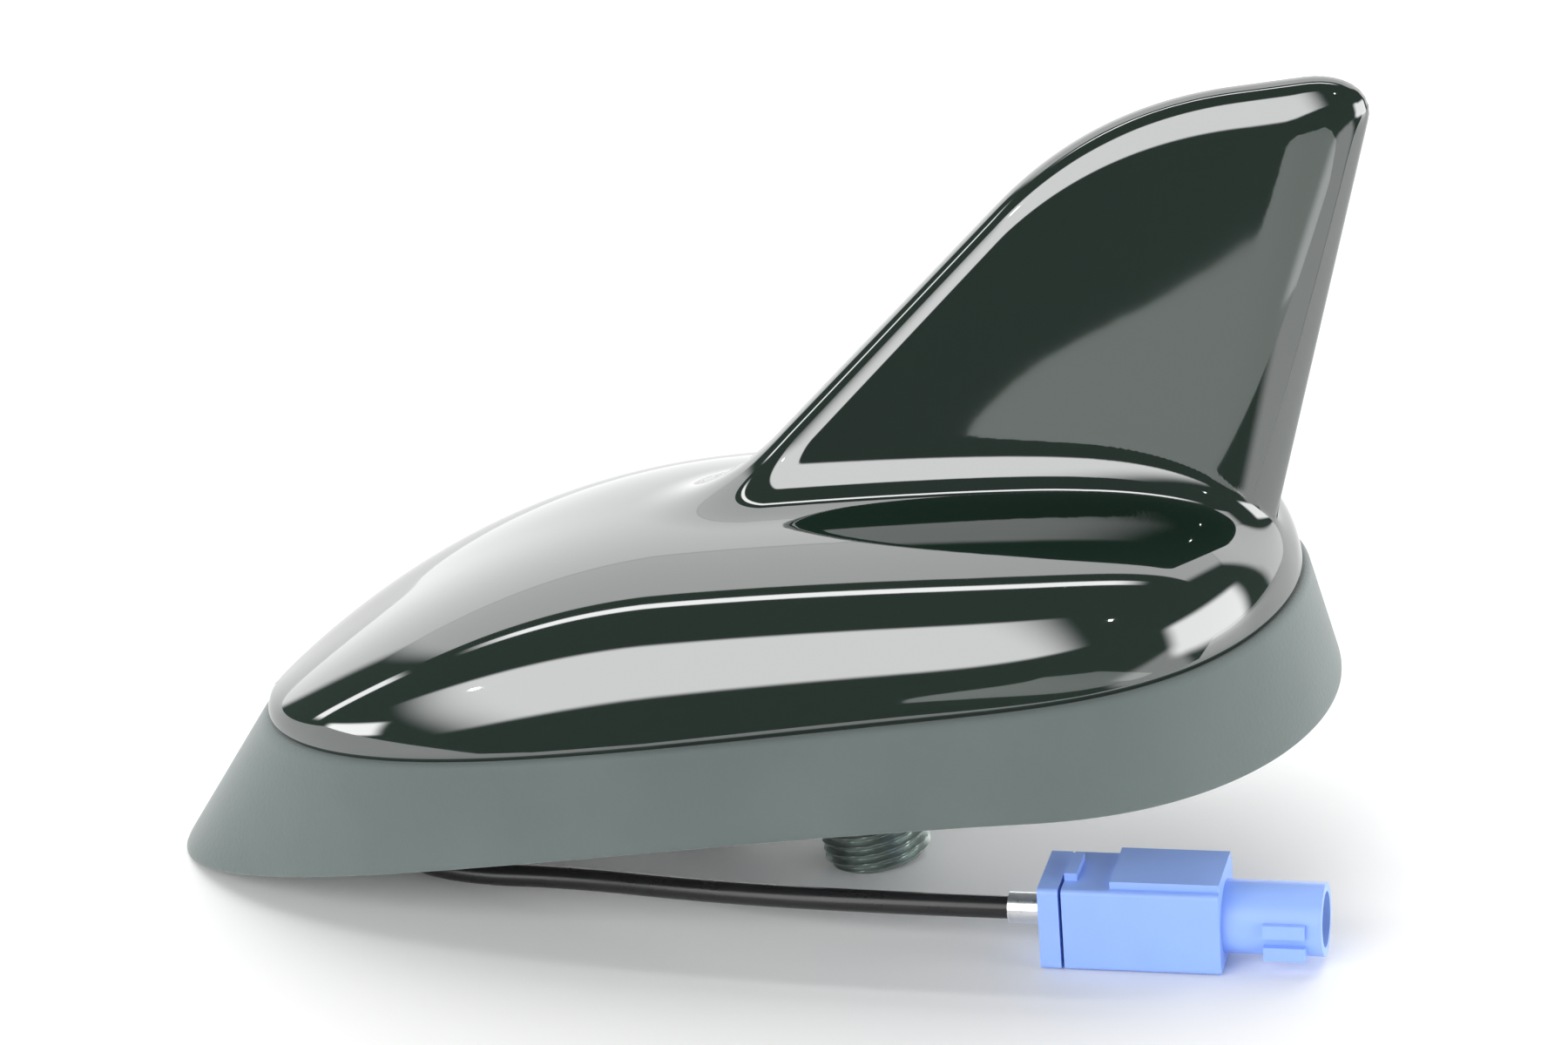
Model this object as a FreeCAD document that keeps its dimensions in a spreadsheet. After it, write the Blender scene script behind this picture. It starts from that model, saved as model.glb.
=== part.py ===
"""Roof antenna of a car: a moulded fin cover over a rubber roof seal, a die-cast base with a
hollow mounting stud, the aerial boards inside, and a short coaxial lead with a locking plug.

Frame: millimetres, +Z up, the stud's axis on Z, the roof's highest line at z = 0, nose towards -X.
"""
import FreeCAD, Part
import math
import os

Vector = FreeCAD.Vector

doc = FreeCAD.newDocument("roof_antenna")

# Driving dimensions
SIZES = [
    ("roof_radius", 650.0),
    ("seal_front", 94.0),
    ("seal_back", 64.0),
    ("seal_widest", 30.0),
    ("seal_half", 37.0),
    ("seal_front_power", 2.7),
    ("seal_back_power", 2.3),
    ("seal_lip", 0.7),
    ("seal_flange", 4.0),
    ("seal_flange_width", 9.0),
    ("overcut", 1.0),
    ("cover_front", 76.4),
    ("cover_back", 61.7),
    ("cover_widest", 12.0),
    ("cover_half", 31.9),
    ("cover_front_power", 3.8),
    ("cover_back_power", 4.0),
    ("cover_wall", 2.5),
    ("cover_lip", 1.5),
    ("rim_height", 12.0),
    ("peak_place", 16.0),
    ("peak_height", 32.7),
    ("deck_fall", 0.27),
    ("fin_lead_place", 52.4),
    ("fin_lead_angle", 37.85),
    ("fin_trail_place", 51.6),
    ("fin_trail_angle", 22.25),
    ("fin_height", 77.4),
    ("fin_front_round", 11.0),
    ("fin_back_round", 6.0),
    ("fin_root", 4.6),
    ("fin_tip", 3.4),
    ("fin_fillet", 7.0),
    ("fin_slot_gap", 0.8),
    ("fin_slot_low", 6.0),
    ("plate_inset", 4.5),
    ("plate_bottom", 4.0),
    ("fit_gap", 0.2),
    ("stud_radius", 7.0),
    ("stud_length", 23.5),
    ("stud_bore", 3.0),
    ("stud_slot", 6.0),
    ("stud_slot_height", 12.0),
    ("stud_tenon", 6.0),
    ("stud_flange_radius", 12.0),
    ("stud_flange", 3.0),
    ("gasket_radius", 15.0),
    ("post_radius", 3.4),
    ("front_post_place", -54.0),
    ("front_post_side", 10.5),
    ("middle_post_place", 2.0),
    ("middle_post_side", 18.5),
    ("back_post_place", 38.0),
    ("back_post_side", 15.4),
    ("screw_radius", 1.25),
    ("screw_head_radius", 2.8),
    ("screw_head", 1.8),
    ("screw_bite", 9.0),
    ("screw_end_gap", 1.0),
    ("grommet_flange", 1.5),
    ("standoff_radius", 2.9),
    ("standoff_height", 4.0),
    ("board_front", 47.0),
    ("board_back", 48.0),
    ("board_half", 11.5),
    ("board_thick", 1.6),
    ("board_screw_front", 43.0),
    ("board_screw_back", 44.5),
    ("board_screw_side", 8.4),
    ("patch_size", 25.0),
    ("patch_thick", 4.0),
    ("patch_place", 26.5),
    ("small_patch_size", 16.0),
    ("small_patch_place", 4.0),
    ("can_front", 8.0),
    ("can_length", 26.0),
    ("can_width", 20.0),
    ("can_height", 4.2),
    ("can_wall", 0.4),
    ("holder_length", 22.0),
    ("holder_width", 9.0),
    ("holder_height", 6.0),
    ("holder_floor", 2.0),
    ("holder_set_back", 2.0),
    ("fin_board_thick", 1.2),
    ("fin_board_edge", 12.0),
    ("fin_board_drop", 11.0),
    ("fin_board_front", 14.0),
    ("fin_board_back_edge", 8.4),
    ("spring_width", 3.0),
    ("spring_thick", 0.5),
    ("spring_place", 39.0),
    ("spring_pitch", 5.0),
    ("spring_bow", 1.8),
    ("cable_radius", 1.45),
    ("ferrule_radius", 2.0),
    ("ferrule_length", 4.7),
    ("contact_start", 7.0),
    ("plug_place", 27.5),
    ("plug_side", 25.0),
    ("plug_drop", 17.8),
    ("plug_tilt", 8.2),
    ("plug_length", 22.6),
    ("plug_width", 11.6),
    ("plug_height", 11.0),
    ("plug_round", 0.7),
    ("plug_step", 1.0),
    ("plug_step_start", 9.0),
    ("plug_step_inset", 1.0),
    ("plug_latch_length", 1.6),
    ("plug_lock_length", 2.6),
    ("plug_groove", 0.4),
    ("plug_nose_radius", 4.6),
    ("plug_nose_length", 12.4),
    ("plug_nose_bore", 3.5),
    ("plug_rib", 0.6),
    ("plug_rib_start", 5.2),
    ("plug_rib_length", 5.2),
    ("plug_rib_width", 1.8),
    ("upper_rib_drop", 0.4),
    ("lower_rib_drop", 3.4),
    ("plug_bore", 2.9),
    ("sleeve_wall", 0.35),
    ("sleeve_set_back", 3.0),
    ("pin_set_back", 4.0),
    ("pin_radius", 0.5),
]

sheet = doc.addObject("Spreadsheet::Sheet", "Sizes")
for row, (alias, value) in enumerate(SIZES, start=1):
    sheet.set("A%d" % row, alias)
    sheet.set("B%d" % row, str(value))
    sheet.setAlias("B%d" % row, alias)
doc.recompute()


def size(alias):
    """The value of one cell of the sheet."""
    return float(sheet.get(alias))


def bound(obj, **expressions):
    """Binds properties to sheet expressions; a word in braces is a cell's alias."""
    for prop, text in expressions.items():
        for alias, _ in SIZES:
            text = text.replace("{" + alias + "}", "Sizes." + alias)
        obj.setExpression(prop.replace("_at_", "Placement.Base."), text)
    return obj


def box(name, length, width, height, x, y, z):
    """A block from its lowest corner, all six values as expressions."""
    obj = doc.addObject("Part::Box", name)
    return bound(obj, Length=length, Width=width, Height=height, _at_x=x, _at_y=y, _at_z=z)


def cylinder(name, radius, height, z, x="0", y="0"):
    """An upright cylinder from its base centre, all values as expressions."""
    obj = doc.addObject("Part::Cylinder", name)
    return bound(obj, Radius=radius, Height=height, _at_x=x, _at_y=y, _at_z=z)


def rod(name, radius, length, x, y="0", z="0"):
    """A cylinder along X from its back centre, all values as expressions."""
    obj = doc.addObject("Part::Cylinder", name)
    obj.Placement.Rotation = FreeCAD.Rotation(Vector(0, 1, 0), 90)
    return bound(obj, Radius=radius, Height=length, _at_x=x, _at_y=y, _at_z=z)


def cut(name, base, *tools):
    """The base less each tool in turn."""
    for number, tool in enumerate(tools, start=1):
        label = name if number == len(tools) else "%s_cut_%d" % (name, number)
        obj = doc.addObject("Part::Cut", label)
        obj.Base = base
        obj.Tool = tool
        base = obj
    return base


def fuse(name, *shapes):
    """One solid of several that meet."""
    obj = doc.addObject("Part::MultiFuse", name)
    obj.Shapes = list(shapes)
    obj.Refine = True
    return obj


def group(name, *shapes):
    """Separate solids that share one node."""
    obj = doc.addObject("Part::Compound", name)
    obj.Links = list(shapes)
    return obj


def feature(name, shape):
    """A shape worked out in code."""
    obj = doc.addObject("Part::Feature", name)
    obj.Shape = shape
    return obj


# Egg plans of the seal, the cover and the plate
def plan(front, back, widest, half, front_power, back_power, inset=0.0):
    """An egg outline's numbers, drawn in by the inset all round."""
    return (-front + inset, back - inset, widest, half - inset, front_power, back_power)


def half_width(egg, x):
    """Half width of an egg outline at x: half * sqrt(1 - u^power), u from the widest place to an end."""
    nose, tail, widest, half, front_power, back_power = egg
    if x < widest:
        u, power = (widest - x) / (widest - nose), front_power
    else:
        u, power = (x - widest) / (tail - widest), back_power
    return half * math.sqrt(max(0.0, 1.0 - min(1.0, max(0.0, u)) ** power))


PLAN_POINTS = 28


def egg_points(egg, z, count=PLAN_POINTS):
    """Points round an egg outline, closer together at its ends; z is a number or a function of x."""
    nose, tail = egg[0], egg[1]
    points = []
    for step in range(2 * count):
        x = tail - (tail - nose) * (1 - math.cos(math.pi * step / count)) / 2
        side = 1 if step < count else -1
        height = z(x) if callable(z) else z
        points.append(Vector(x, side * half_width(egg, x), height))
    return points


def closed_wire(points):
    """A smooth closed wire through points."""
    curve = Part.BSplineCurve()
    curve.interpolate(points, PeriodicFlag=True)
    return Part.Wire([curve.toShape()])


def egg_prism(name, egg, bottom, top):
    """A straight-sided block with an egg outline."""
    face = Part.Face(closed_wire(egg_points(egg, bottom)))
    return feature(name, face.extrude(Vector(0, 0, top - bottom)))


def cover_plan(inset):
    """The cover's outline at its rim, drawn in by the inset."""
    return plan(size("cover_front"), size("cover_back"), size("cover_widest"), size("cover_half"),
                size("cover_front_power"), size("cover_back_power"), inset)


RIM = size("rim_height")
PLATE_TOP = RIM - size("seal_flange")
WALL = size("cover_wall")


# Fin cover: a long dome with a swept fin, moulded in one piece
SECTION_SIDE = 3.0
SECTION_UP = 2.6
SECTION_ROOT = 2.8
FALL_POWER = 1.5
TAIL_POWER = 8.0
BODY_SCALE = 20.0
OUTSIDE = 6.0
FAR = 130.0
RAYS = 500
SAMPLES = 110
HALVINGS = 36
NOSE_PACE = 0.55
TAIL_PACE = 0.15
ON_PLANE = 1e-6
SKIN_GRID = (72, 26)
HOLLOW_GRID = (36, 16)
RAY_CENTRE = Vector(20.0, 0.0, RIM + 2.0)
FIN = {word: size("fin_" + word) for word in (
    "lead_place", "lead_angle", "trail_place", "trail_angle", "height",
    "front_round", "back_round", "root", "tip", "fillet")}


def crest(egg, inset, x):
    """Height of the dome's crest over the rim: a parabola to the peak, then a deck that falls to the tail."""
    nose, tail = egg[:2]
    peak = -size("peak_place")
    front = min(1.0, max(0.0, (peak - x) / (peak - nose)))
    rear = min(1.0, max(0.0, (x - peak) / (tail - peak)))
    fall = (1 - size("deck_fall") * rear ** FALL_POWER) * math.sqrt(1 - rear ** TAIL_POWER)
    lip = size("cover_lip")
    return lip + (size("peak_height") - inset - RIM - lip) * (1 - front ** 2) * fall


def smooth_max(a, b, reach):
    """The larger of two fields, rounded over where they are closer than the reach."""
    near = max(0.0, reach - abs(a - b)) / reach
    return max(a, b) + near * near * reach / 4


def fin_side(x, z):
    """Distance from the fin's side outline: leading edge, top and trailing edge with rounded corners."""
    lead_angle = math.radians(FIN["lead_angle"])
    trail_angle = math.radians(FIN["trail_angle"])
    lead = (-FIN["lead_place"] - x) * math.sin(lead_angle) + z * math.cos(lead_angle)
    trail = (x - FIN["trail_place"]) * math.cos(trail_angle) - z * math.sin(trail_angle)
    front = smooth_max(lead, z - FIN["height"], FIN["front_round"])
    return smooth_max(front, trail, FIN["back_round"])


def cover_field(egg, inset, with_fin, x, y, z):
    """Below zero inside the moulding: a superelliptic dome, joined by a fillet to a round-edged fin."""
    width = max(half_width(egg, x), 0.001)
    up = max(0.0, z - RIM) / crest(egg, inset, x)
    body = ((y / width) ** SECTION_SIDE + up ** SECTION_UP) ** (1 / SECTION_ROOT)
    body = (body - 1) * BODY_SCALE
    if x < egg[0] or x > egg[1]:
        body = max(body, OUTSIDE)
    if not with_fin:
        return body
    share = min(1.0, max(0.0, (z - RIM) / (FIN["height"] - RIM)))
    thick = FIN["root"] + (FIN["tip"] - FIN["root"]) * share
    fin = math.hypot(max(0.0, fin_side(x, z) + thick), y) - thick
    return -smooth_max(-body, -fin, FIN["fillet"])


def last_inside(inside, reach):
    """The largest value up to reach that is still inside, by halving."""
    low = 0.0
    high = reach
    for _ in range(HALVINGS):
        middle = (low + high) / 2
        if inside(middle):
            low = middle
        else:
            high = middle
    return low


def even_points(line, count, start_pace=1.0, end_pace=1.0):
    """Points along a polyline, its ends among them; a pace under 1 sets them closer at that end."""
    marks = [0.0]
    for a, b in zip(line, line[1:]):
        marks.append(marks[-1] + a.distanceToPoint(b))
    points = [line[0]]
    index = 0
    for step in range(1, count - 1):
        u = step / (count - 1)
        eased = start_pace * u * (1 - u) ** 2 + u * u * (3 - 2 * u) - end_pace * u * u * (1 - u)
        place = marks[-1] * eased
        while marks[index + 1] < place:
            index += 1
        share = (place - marks[index]) / (marks[index + 1] - marks[index])
        points.append(line[index] + (line[index + 1] - line[index]) * share)
    return points + [line[-1]]


def half_skin(inset, with_fin, columns, rows):
    """One side of the cover as a grid: each column climbs from the rim to the outline in the middle plane."""
    egg = cover_plan(inset)
    nose, tail = egg[:2]
    centre = RAY_CENTRE
    lip_height = RIM + size("cover_lip")
    start = math.pi - math.atan2(lip_height - centre.z, centre.x - nose)
    stop = math.atan2(lip_height - centre.z, tail - centre.x)
    outline = []
    for ray in range(RAYS + 1):
        angle = start + (stop - start) * ray / RAYS
        away = Vector(math.cos(angle), 0, math.sin(angle))

        def in_middle(distance):
            point = centre + away * distance
            return cover_field(egg, inset, with_fin, point.x, 0.0, point.z) < 0

        outline.append(centre + away * last_inside(in_middle, FAR))
    outline[0] = Vector(nose, 0, lip_height)
    outline[-1] = Vector(tail, 0, lip_height)
    rim = egg_points(egg, RIM, RAYS)[RAYS::-1]
    tops = even_points(outline, columns, NOSE_PACE, TAIL_PACE)
    feet = even_points(rim, columns)
    grid = []
    for foot, top in zip(feet, tops):
        line = []
        for sample in range(SAMPLES + 1):
            rise = 1 - (1 - sample / SAMPLES) ** 2
            x = foot.x + (top.x - foot.x) * rise
            z = RIM + (top.z - RIM) * rise
            y = last_inside(lambda out: cover_field(egg, inset, with_fin, x, out, z) < 0, FAR)
            line.append(Vector(x, y, z))
        line[-1] = top
        if foot.y < ON_PLANE:
            line = [Vector(foot.x, 0, point.z) for point in line]
        grid.append(even_points(line, rows))
    return grid


def even_curve(points):
    """A smooth curve through points, its parameter the same step from each to the next."""
    curve = Part.BSplineCurve()
    curve.interpolate(Points=points, Parameters=[float(step) for step in range(len(points))])
    return curve


def smooth_skin(grid):
    """A smooth surface through a grid of points, worked along its rows and then along its columns."""
    along = [even_curve([column[row] for column in grid]) for row in range(len(grid[0]))]
    across = [even_curve(list(poles)) for poles in zip(*(curve.getPoles() for curve in along))]
    skin = Part.BSplineSurface()
    skin.buildFromPolesMultsKnots(
        [curve.getPoles() for curve in across],
        along[0].getMultiplicities(), across[0].getMultiplicities(),
        along[0].getKnots(), across[0].getKnots(), False, False,
        along[0].Degree, across[0].Degree)
    return skin


def moulded_solid(inset, with_fin, columns, rows):
    """The solid inside the skin: one half closed by its flat faces, and its mirror image."""
    side = smooth_skin(half_skin(inset, with_fin, columns, rows)).toShape()
    rim = [edge for edge in side.Edges if edge.BoundBox.ZMax < RIM + ON_PLANE]
    ridge = [edge for edge in side.Edges if edge.BoundBox.YMax < ON_PLANE]
    nose, tail = cover_plan(inset)[:2]
    base = Part.LineSegment(Vector(nose, 0, RIM), Vector(tail, 0, RIM)).toShape()
    middle = Part.Face(Part.Wire(Part.__sortEdges__(ridge + [base])))
    floor = Part.Face(Part.Wire(Part.__sortEdges__(rim + [base])))
    shell = Part.makeShell([side, middle, floor])
    shell.sewShape()
    half = Part.makeSolid(shell)
    if half.Volume < 0:
        half.reverse()
    other = half.mirror(Vector(0, 0, 0), Vector(0, 1, 0))
    return half.fuse(other).removeSplitter().Solids[0]


def fin_outline(grow, low):
    """The side outline of the board in the fin, grown all round, from a low line up."""
    lead = math.radians(FIN["lead_angle"])
    trail = math.radians(FIN["trail_angle"])
    high = FIN["height"] - size("fin_board_drop") + grow
    front = size("fin_board_edge") - FIN["lead_place"] - grow
    back = FIN["trail_place"] - size("fin_board_back_edge") + grow
    foot = size("fin_board_front") - grow
    return [(foot, low), (back + low * math.tan(trail), low), (back + high * math.tan(trail), high),
            (front + high / math.tan(lead), high), (foot, (foot - front) * math.tan(lead))]


def upright_slab(outline, thick):
    """A slab of a side outline, centred on the middle plane."""
    points = [Vector(x, -thick / 2, z) for x, z in outline]
    face = Part.Face(Part.makePolygon(points + points[:1]))
    return face.extrude(Vector(0, thick, 0))


POSTS = [(word + "_post_place", word + "_post_side", sign)
         for word in ("front", "middle", "back") for sign in (1, -1)]


def post_place(place, side, sign):
    """A post's place along and across, as expressions."""
    return "{%s}" % place, "{%s} * %d" % (side, sign)


def dome_height(x, y):
    """Height of the dome's outside over a point."""
    egg = cover_plan(0.0)
    share = 1 - (abs(y) / half_width(egg, x)) ** SECTION_SIDE
    return RIM + crest(egg, 0.0, x) * share ** (1 / SECTION_UP)


def make_fin_cover():
    """Glossy shell with a hollow dome, a slot for the fin board and six screw posts."""
    outside = feature("cover_outside", moulded_solid(0.0, True, *SKIN_GRID))
    hollow = feature("cover_hollow", moulded_solid(WALL, False, *HOLLOW_GRID))
    gap = size("fin_slot_gap")
    slot = feature("fin_slot", upright_slab(
        fin_outline(2 * gap, RIM + size("fin_slot_low")), size("fin_board_thick") + 2 * gap))
    shell = cut("cover_shell", outside, hollow, slot)
    posts = []
    holes = []
    for number, (place, side, sign) in enumerate(POSTS, start=1):
        height = dome_height(size(place), size(side)) - WALL / 2 - PLATE_TOP
        x, y = post_place(place, side, sign)
        posts.append(cylinder("cover_post_%d" % number, "{post_radius}", str(height),
                              "{rim_height} - {seal_flange}", x, y))
        holes.append(cylinder("cover_hole_%d" % number, "{screw_radius}", "{screw_bite}",
                              "{rim_height} - {seal_flange}", x, y))
    with_posts = fuse("cover_with_posts", shell, *posts)
    return cut("fin_cover", with_posts, *holes)


# Roof seal: a rubber skirt that follows the roof and laps the base plate
def roof_height(x):
    """Height of the roof's surface under a point."""
    radius = size("roof_radius")
    return math.sqrt(radius ** 2 - x ** 2) - radius


def make_roof_seal():
    """Flared skirt between the foot outline on the roof and the cover's rim, with a flange inside."""
    foot = plan(size("seal_front"), size("seal_back"), size("seal_widest"), size("seal_half"),
                size("seal_front_power"), size("seal_back_power"))
    upper = egg_points(cover_plan(-size("seal_lip")), RIM)
    over = size("overcut")
    below = roof_height(size("seal_front")) - over
    lower = []
    for low, high in zip(egg_points(foot, roof_height), upper):
        share = (RIM - below) / (RIM - low.z)
        lower.append(high + (low - high) * share)
    skirt = feature("skirt", Part.makeLoft([closed_wire(lower), closed_wire(upper)], True, True))
    roof = doc.addObject("Part::Cylinder", "roof_form")
    roof.Placement.Rotation = FreeCAD.Rotation(Vector(1, 0, 0), -90)
    bound(roof, Radius="{roof_radius}", Height="{seal_half} * 4", _at_y="-{seal_half} * 2",
          _at_z="-{roof_radius}")
    pocket_plan = cover_plan(size("plate_inset") - size("fit_gap"))
    pocket = egg_prism("seal_pocket", pocket_plan, below - over, PLATE_TOP)
    window = egg_prism("seal_window", cover_plan(size("seal_flange_width")), PLATE_TOP - over, RIM + over)
    return cut("roof_seal", skirt, roof, pocket, window)


# Base plate: a die-casting with standoffs for the board
BOARD_SCREWS = [(place, side) for place in ("-{board_screw_front}", "{board_screw_back}")
                for side in ("{board_screw_side}", "-{board_screw_side}")]


def make_base_plate():
    """Flat casting under the seal's flange, holed for the stud and for both sets of screws."""
    plate = egg_prism("plate_blank", cover_plan(size("plate_inset")), size("plate_bottom"), PLATE_TOP)
    bosses = []
    holes = [cylinder("plate_stud_hole", "{stud_tenon}", "{rim_height}", "{plate_bottom} - {overcut}")]
    for number, (x, y) in enumerate(BOARD_SCREWS, start=1):
        bosses.append(cylinder("standoff_%d" % number, "{standoff_radius}", "{standoff_height}",
                               "{rim_height} - {seal_flange}", x, y))
        holes.append(cylinder("standoff_hole_%d" % number, "{screw_radius}", "{standoff_height}",
                              "{rim_height} - {seal_flange}", x, y))
    for number, post in enumerate(POSTS, start=1):
        x, y = post_place(*post)
        holes.append(cylinder("plate_hole_%d" % number, "{screw_radius} + {fit_gap}", "{rim_height}",
                              "{plate_bottom} - {overcut}", x, y))
    return cut("base_plate", fuse("plate_with_standoffs", plate, *bosses), *holes)


def make_mounting_stud():
    """Hollow steel stud, flanged under the plate, with a slot in front that lets the lead out."""
    shank = cylinder("stud_shank", "{stud_radius}", "{stud_length}", "{plate_bottom} - {stud_length}")
    flange = cylinder("stud_flange_disc", "{stud_flange_radius}", "{stud_flange}",
                      "{plate_bottom} - {stud_flange}")
    tenon = cylinder("stud_tenon_disc", "{stud_tenon}", "{rim_height} - {seal_flange} - {plate_bottom}",
                     "{plate_bottom}")
    below = "{plate_bottom} - {stud_length} - {overcut}"
    bore = cylinder("stud_bore_hole", "{stud_bore}", "{stud_length} * 2", below)
    slot = box("stud_slot_cut", "{stud_radius} + {overcut}", "{stud_slot}", "{stud_slot_height} + {overcut}",
               "-{stud_radius} - {overcut}", "-{stud_slot} / 2", below)
    return cut("mounting_stud", fuse("stud_blank", shank, flange, tenon), bore, slot)


def make_stud_gasket():
    """Foam ring round the stud's flange that closes the hole in the roof."""
    disc = cylinder("gasket_disc", "{gasket_radius}", "{plate_bottom}", "0")
    hole = cylinder("gasket_hole", "{stud_flange_radius} + {fit_gap}", "{plate_bottom} + 2 * {overcut}",
                    "-{overcut}")
    return cut("stud_gasket", disc, hole)


def make_screw(name, x, y, head_z, shank_length, up):
    """A pan-head screw; its shank runs up or down from the head's seat."""
    head_base = head_z + (" - {screw_head}" if up else "")
    shank_base = head_z if up else head_z + " - (" + shank_length + ")"
    head = cylinder(name + "_head", "{screw_head_radius}", "{screw_head}", head_base, x, y)
    shank = cylinder(name + "_shank", "{screw_radius}", shank_length, shank_base, x, y)
    return fuse(name, head, shank)


def make_cover_screws():
    """Six screws from under the plate into the cover's posts."""
    length = "{rim_height} - {seal_flange} - {plate_bottom} + {screw_bite} - {screw_end_gap}"
    screws = [make_screw("cover_screw_%d" % number, *post_place(*post), "{plate_bottom}", length, True)
              for number, post in enumerate(POSTS, start=1)]
    return group("cover_screws", *screws)


# Aerial boards and what stands on them
BOARD_BOTTOM = "{rim_height} - {seal_flange} + {standoff_height}"
BOARD_TOP = BOARD_BOTTOM + " + {board_thick}"


def make_main_board():
    """Circuit board on the standoffs, holed for its screws."""
    blank = box("board_blank", "{board_front} + {board_back}", "{board_half} * 2", "{board_thick}",
                "-{board_front}", "-{board_half}", BOARD_BOTTOM)
    holes = [cylinder("board_hole_%d" % number, "{screw_radius} + {fit_gap}", "{board_thick} + 2 * {overcut}",
                      BOARD_BOTTOM + " - {overcut}", x, y)
             for number, (x, y) in enumerate(BOARD_SCREWS, start=1)]
    return cut("main_board", blank, *holes)


def make_board_screws():
    """Four screws that hold the board on its standoffs."""
    length = "{board_thick} + {standoff_height} - {screw_end_gap} / 2"
    screws = [make_screw("board_screw_%d" % number, x, y, BOARD_TOP, length, False)
              for number, (x, y) in enumerate(BOARD_SCREWS, start=1)]
    return group("board_screws", *screws)


def edges_along(obj, direction):
    """Numbers of the straight edges that run in a direction."""
    return [number for number, edge in enumerate(obj.Shape.Edges, start=1)
            if edge.tangentAt(edge.FirstParameter).cross(direction).Length < ON_PLANE]


def make_patch(name, edge, place):
    """A square ceramic tile with trimmed corners, standing on the board."""
    tile = box(name + "_tile", edge, edge, "{patch_thick}", place + " - " + edge + " / 2",
               "-" + edge + " / 2", BOARD_TOP)
    doc.recompute()
    trimmed = doc.addObject("Part::Chamfer", name)
    trimmed.Base = tile
    trim = size("patch_thick") / 2
    trimmed.Edges = [(number, trim, trim) for number in edges_along(tile, Vector(0, 0, 1))]
    return trimmed


def make_patch_antenna():
    """The large tile, for positioning signals."""
    return make_patch("patch_antenna", "{patch_size}", "-{patch_place}")


def make_small_patch_antenna():
    """The small tile, for satellite radio."""
    return make_patch("small_patch_antenna", "{small_patch_size}", "-{small_patch_place}")


def make_shield_can():
    """Folded tin can over the amplifier, open below."""
    outside = box("can_outside", "{can_length}", "{can_width}", "{can_height}", "{can_front}",
                  "-{can_width} / 2", BOARD_TOP)
    inside = box("can_inside", "{can_length} - 2 * {can_wall}", "{can_width} - 2 * {can_wall}",
                 "{can_height} - {can_wall} + {overcut}", "{can_front} + {can_wall}",
                 "{can_wall} - {can_width} / 2", BOARD_TOP + " - {overcut}")
    return cut("shield_can", outside, inside)


HOLDER_BOTTOM = BOARD_TOP + " + {can_height}"


def make_fin_holder():
    """Plastic cradle on the can, slotted for the fin board."""
    block = box("holder_block", "{holder_length}", "{holder_width}", "{holder_height}",
                "{can_front} + {holder_set_back}", "-{holder_width} / 2", HOLDER_BOTTOM)
    slot = box("holder_slot", "{holder_length} + 2 * {overcut}", "{fin_board_thick} + {fit_gap}",
               "{holder_height}", "{can_front} + {holder_set_back} - {overcut}",
               "-({fin_board_thick} + {fit_gap}) / 2", HOLDER_BOTTOM + " + {holder_floor}")
    return cut("fin_holder", block, slot)


SPRING_FOOT = PLATE_TOP + size("standoff_height") + size("board_thick")
FIN_BOARD_LOW = SPRING_FOOT + size("can_height") + size("holder_floor")


def make_fin_board():
    """Aerial board that stands in the fin, following the fin's edges."""
    outline = fin_outline(0.0, FIN_BOARD_LOW)
    return feature("fin_board", upright_slab(outline, size("fin_board_thick")))


def make_contact_springs():
    """Two bowed leaf springs that join the main board to the fin board."""
    middle = (SPRING_FOOT + FIN_BOARD_LOW) / 2
    leaf = Vector(size("spring_thick"), 0, 0)
    width = size("spring_width")
    springs = []
    for number in range(2):
        x = size("spring_place") + number * size("spring_pitch")
        foot = Vector(x, -width / 2, SPRING_FOOT)
        crown = Vector(x + size("spring_bow"), -width / 2, middle)
        head = Vector(x, -width / 2, FIN_BOARD_LOW)
        outer = Part.Arc(foot, crown, head).toShape()
        inner = Part.Arc(foot - leaf, crown - leaf, head - leaf).toShape()
        ends = [Part.makeLine(end, end - leaf) for end in (foot, head)]
        face = Part.Face(Part.Wire(Part.__sortEdges__([outer, inner] + ends)))
        springs.append(feature("contact_spring_%d" % (number + 1), face.extrude(Vector(0, width, 0))))
    return group("contact_springs", *springs)


def make_cable_header():
    """Solder block under the board that takes the lead's end."""
    return box("cable_header", "{stud_bore} * 2", "{stud_bore} * 2",
               "{standoff_height} - {grommet_flange}", "-{stud_bore}", "-{stud_bore}",
               "{rim_height} - {seal_flange} + {grommet_flange}")


def make_cable_grommet():
    """Rubber plug in the stud's bore, flanged over the tenon."""
    stem = cylinder("grommet_stem", "{stud_bore} - {fit_gap} / 2", "{rim_height} - {seal_flange}", "0")
    flange = cylinder("grommet_collar", "{stud_tenon} - {overcut}", "{grommet_flange}",
                      "{rim_height} - {seal_flange}")
    return fuse("cable_grommet", stem, flange)


# Lead: a round coaxial cable that loops forward under the base and comes back to the plug
ROUTE = [
    (0.0, 0.0, 0.0), (0.0, 0.0, -6.5), (-5.0, 0.6, -12.2), (-13.0, 2.8, -13.6), (-25.0, 7.8, -13.7),
    (-38.0, 12.4, -12.3), (-51.0, 13.6, -10.7), (-60.5, 9.6, -9.3), (-64.6, 0.0, -8.8), (-60.5, -9.6, -9.3),
    (-51.0, -13.4, -10.6), (-37.0, -14.7, -11.9), (-16.0, -20.9, -13.1), (6.01, -25.0, -14.703),
    (22.84, -25.0, -17.128),
]
RUN_SHARE = 0.45


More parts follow.
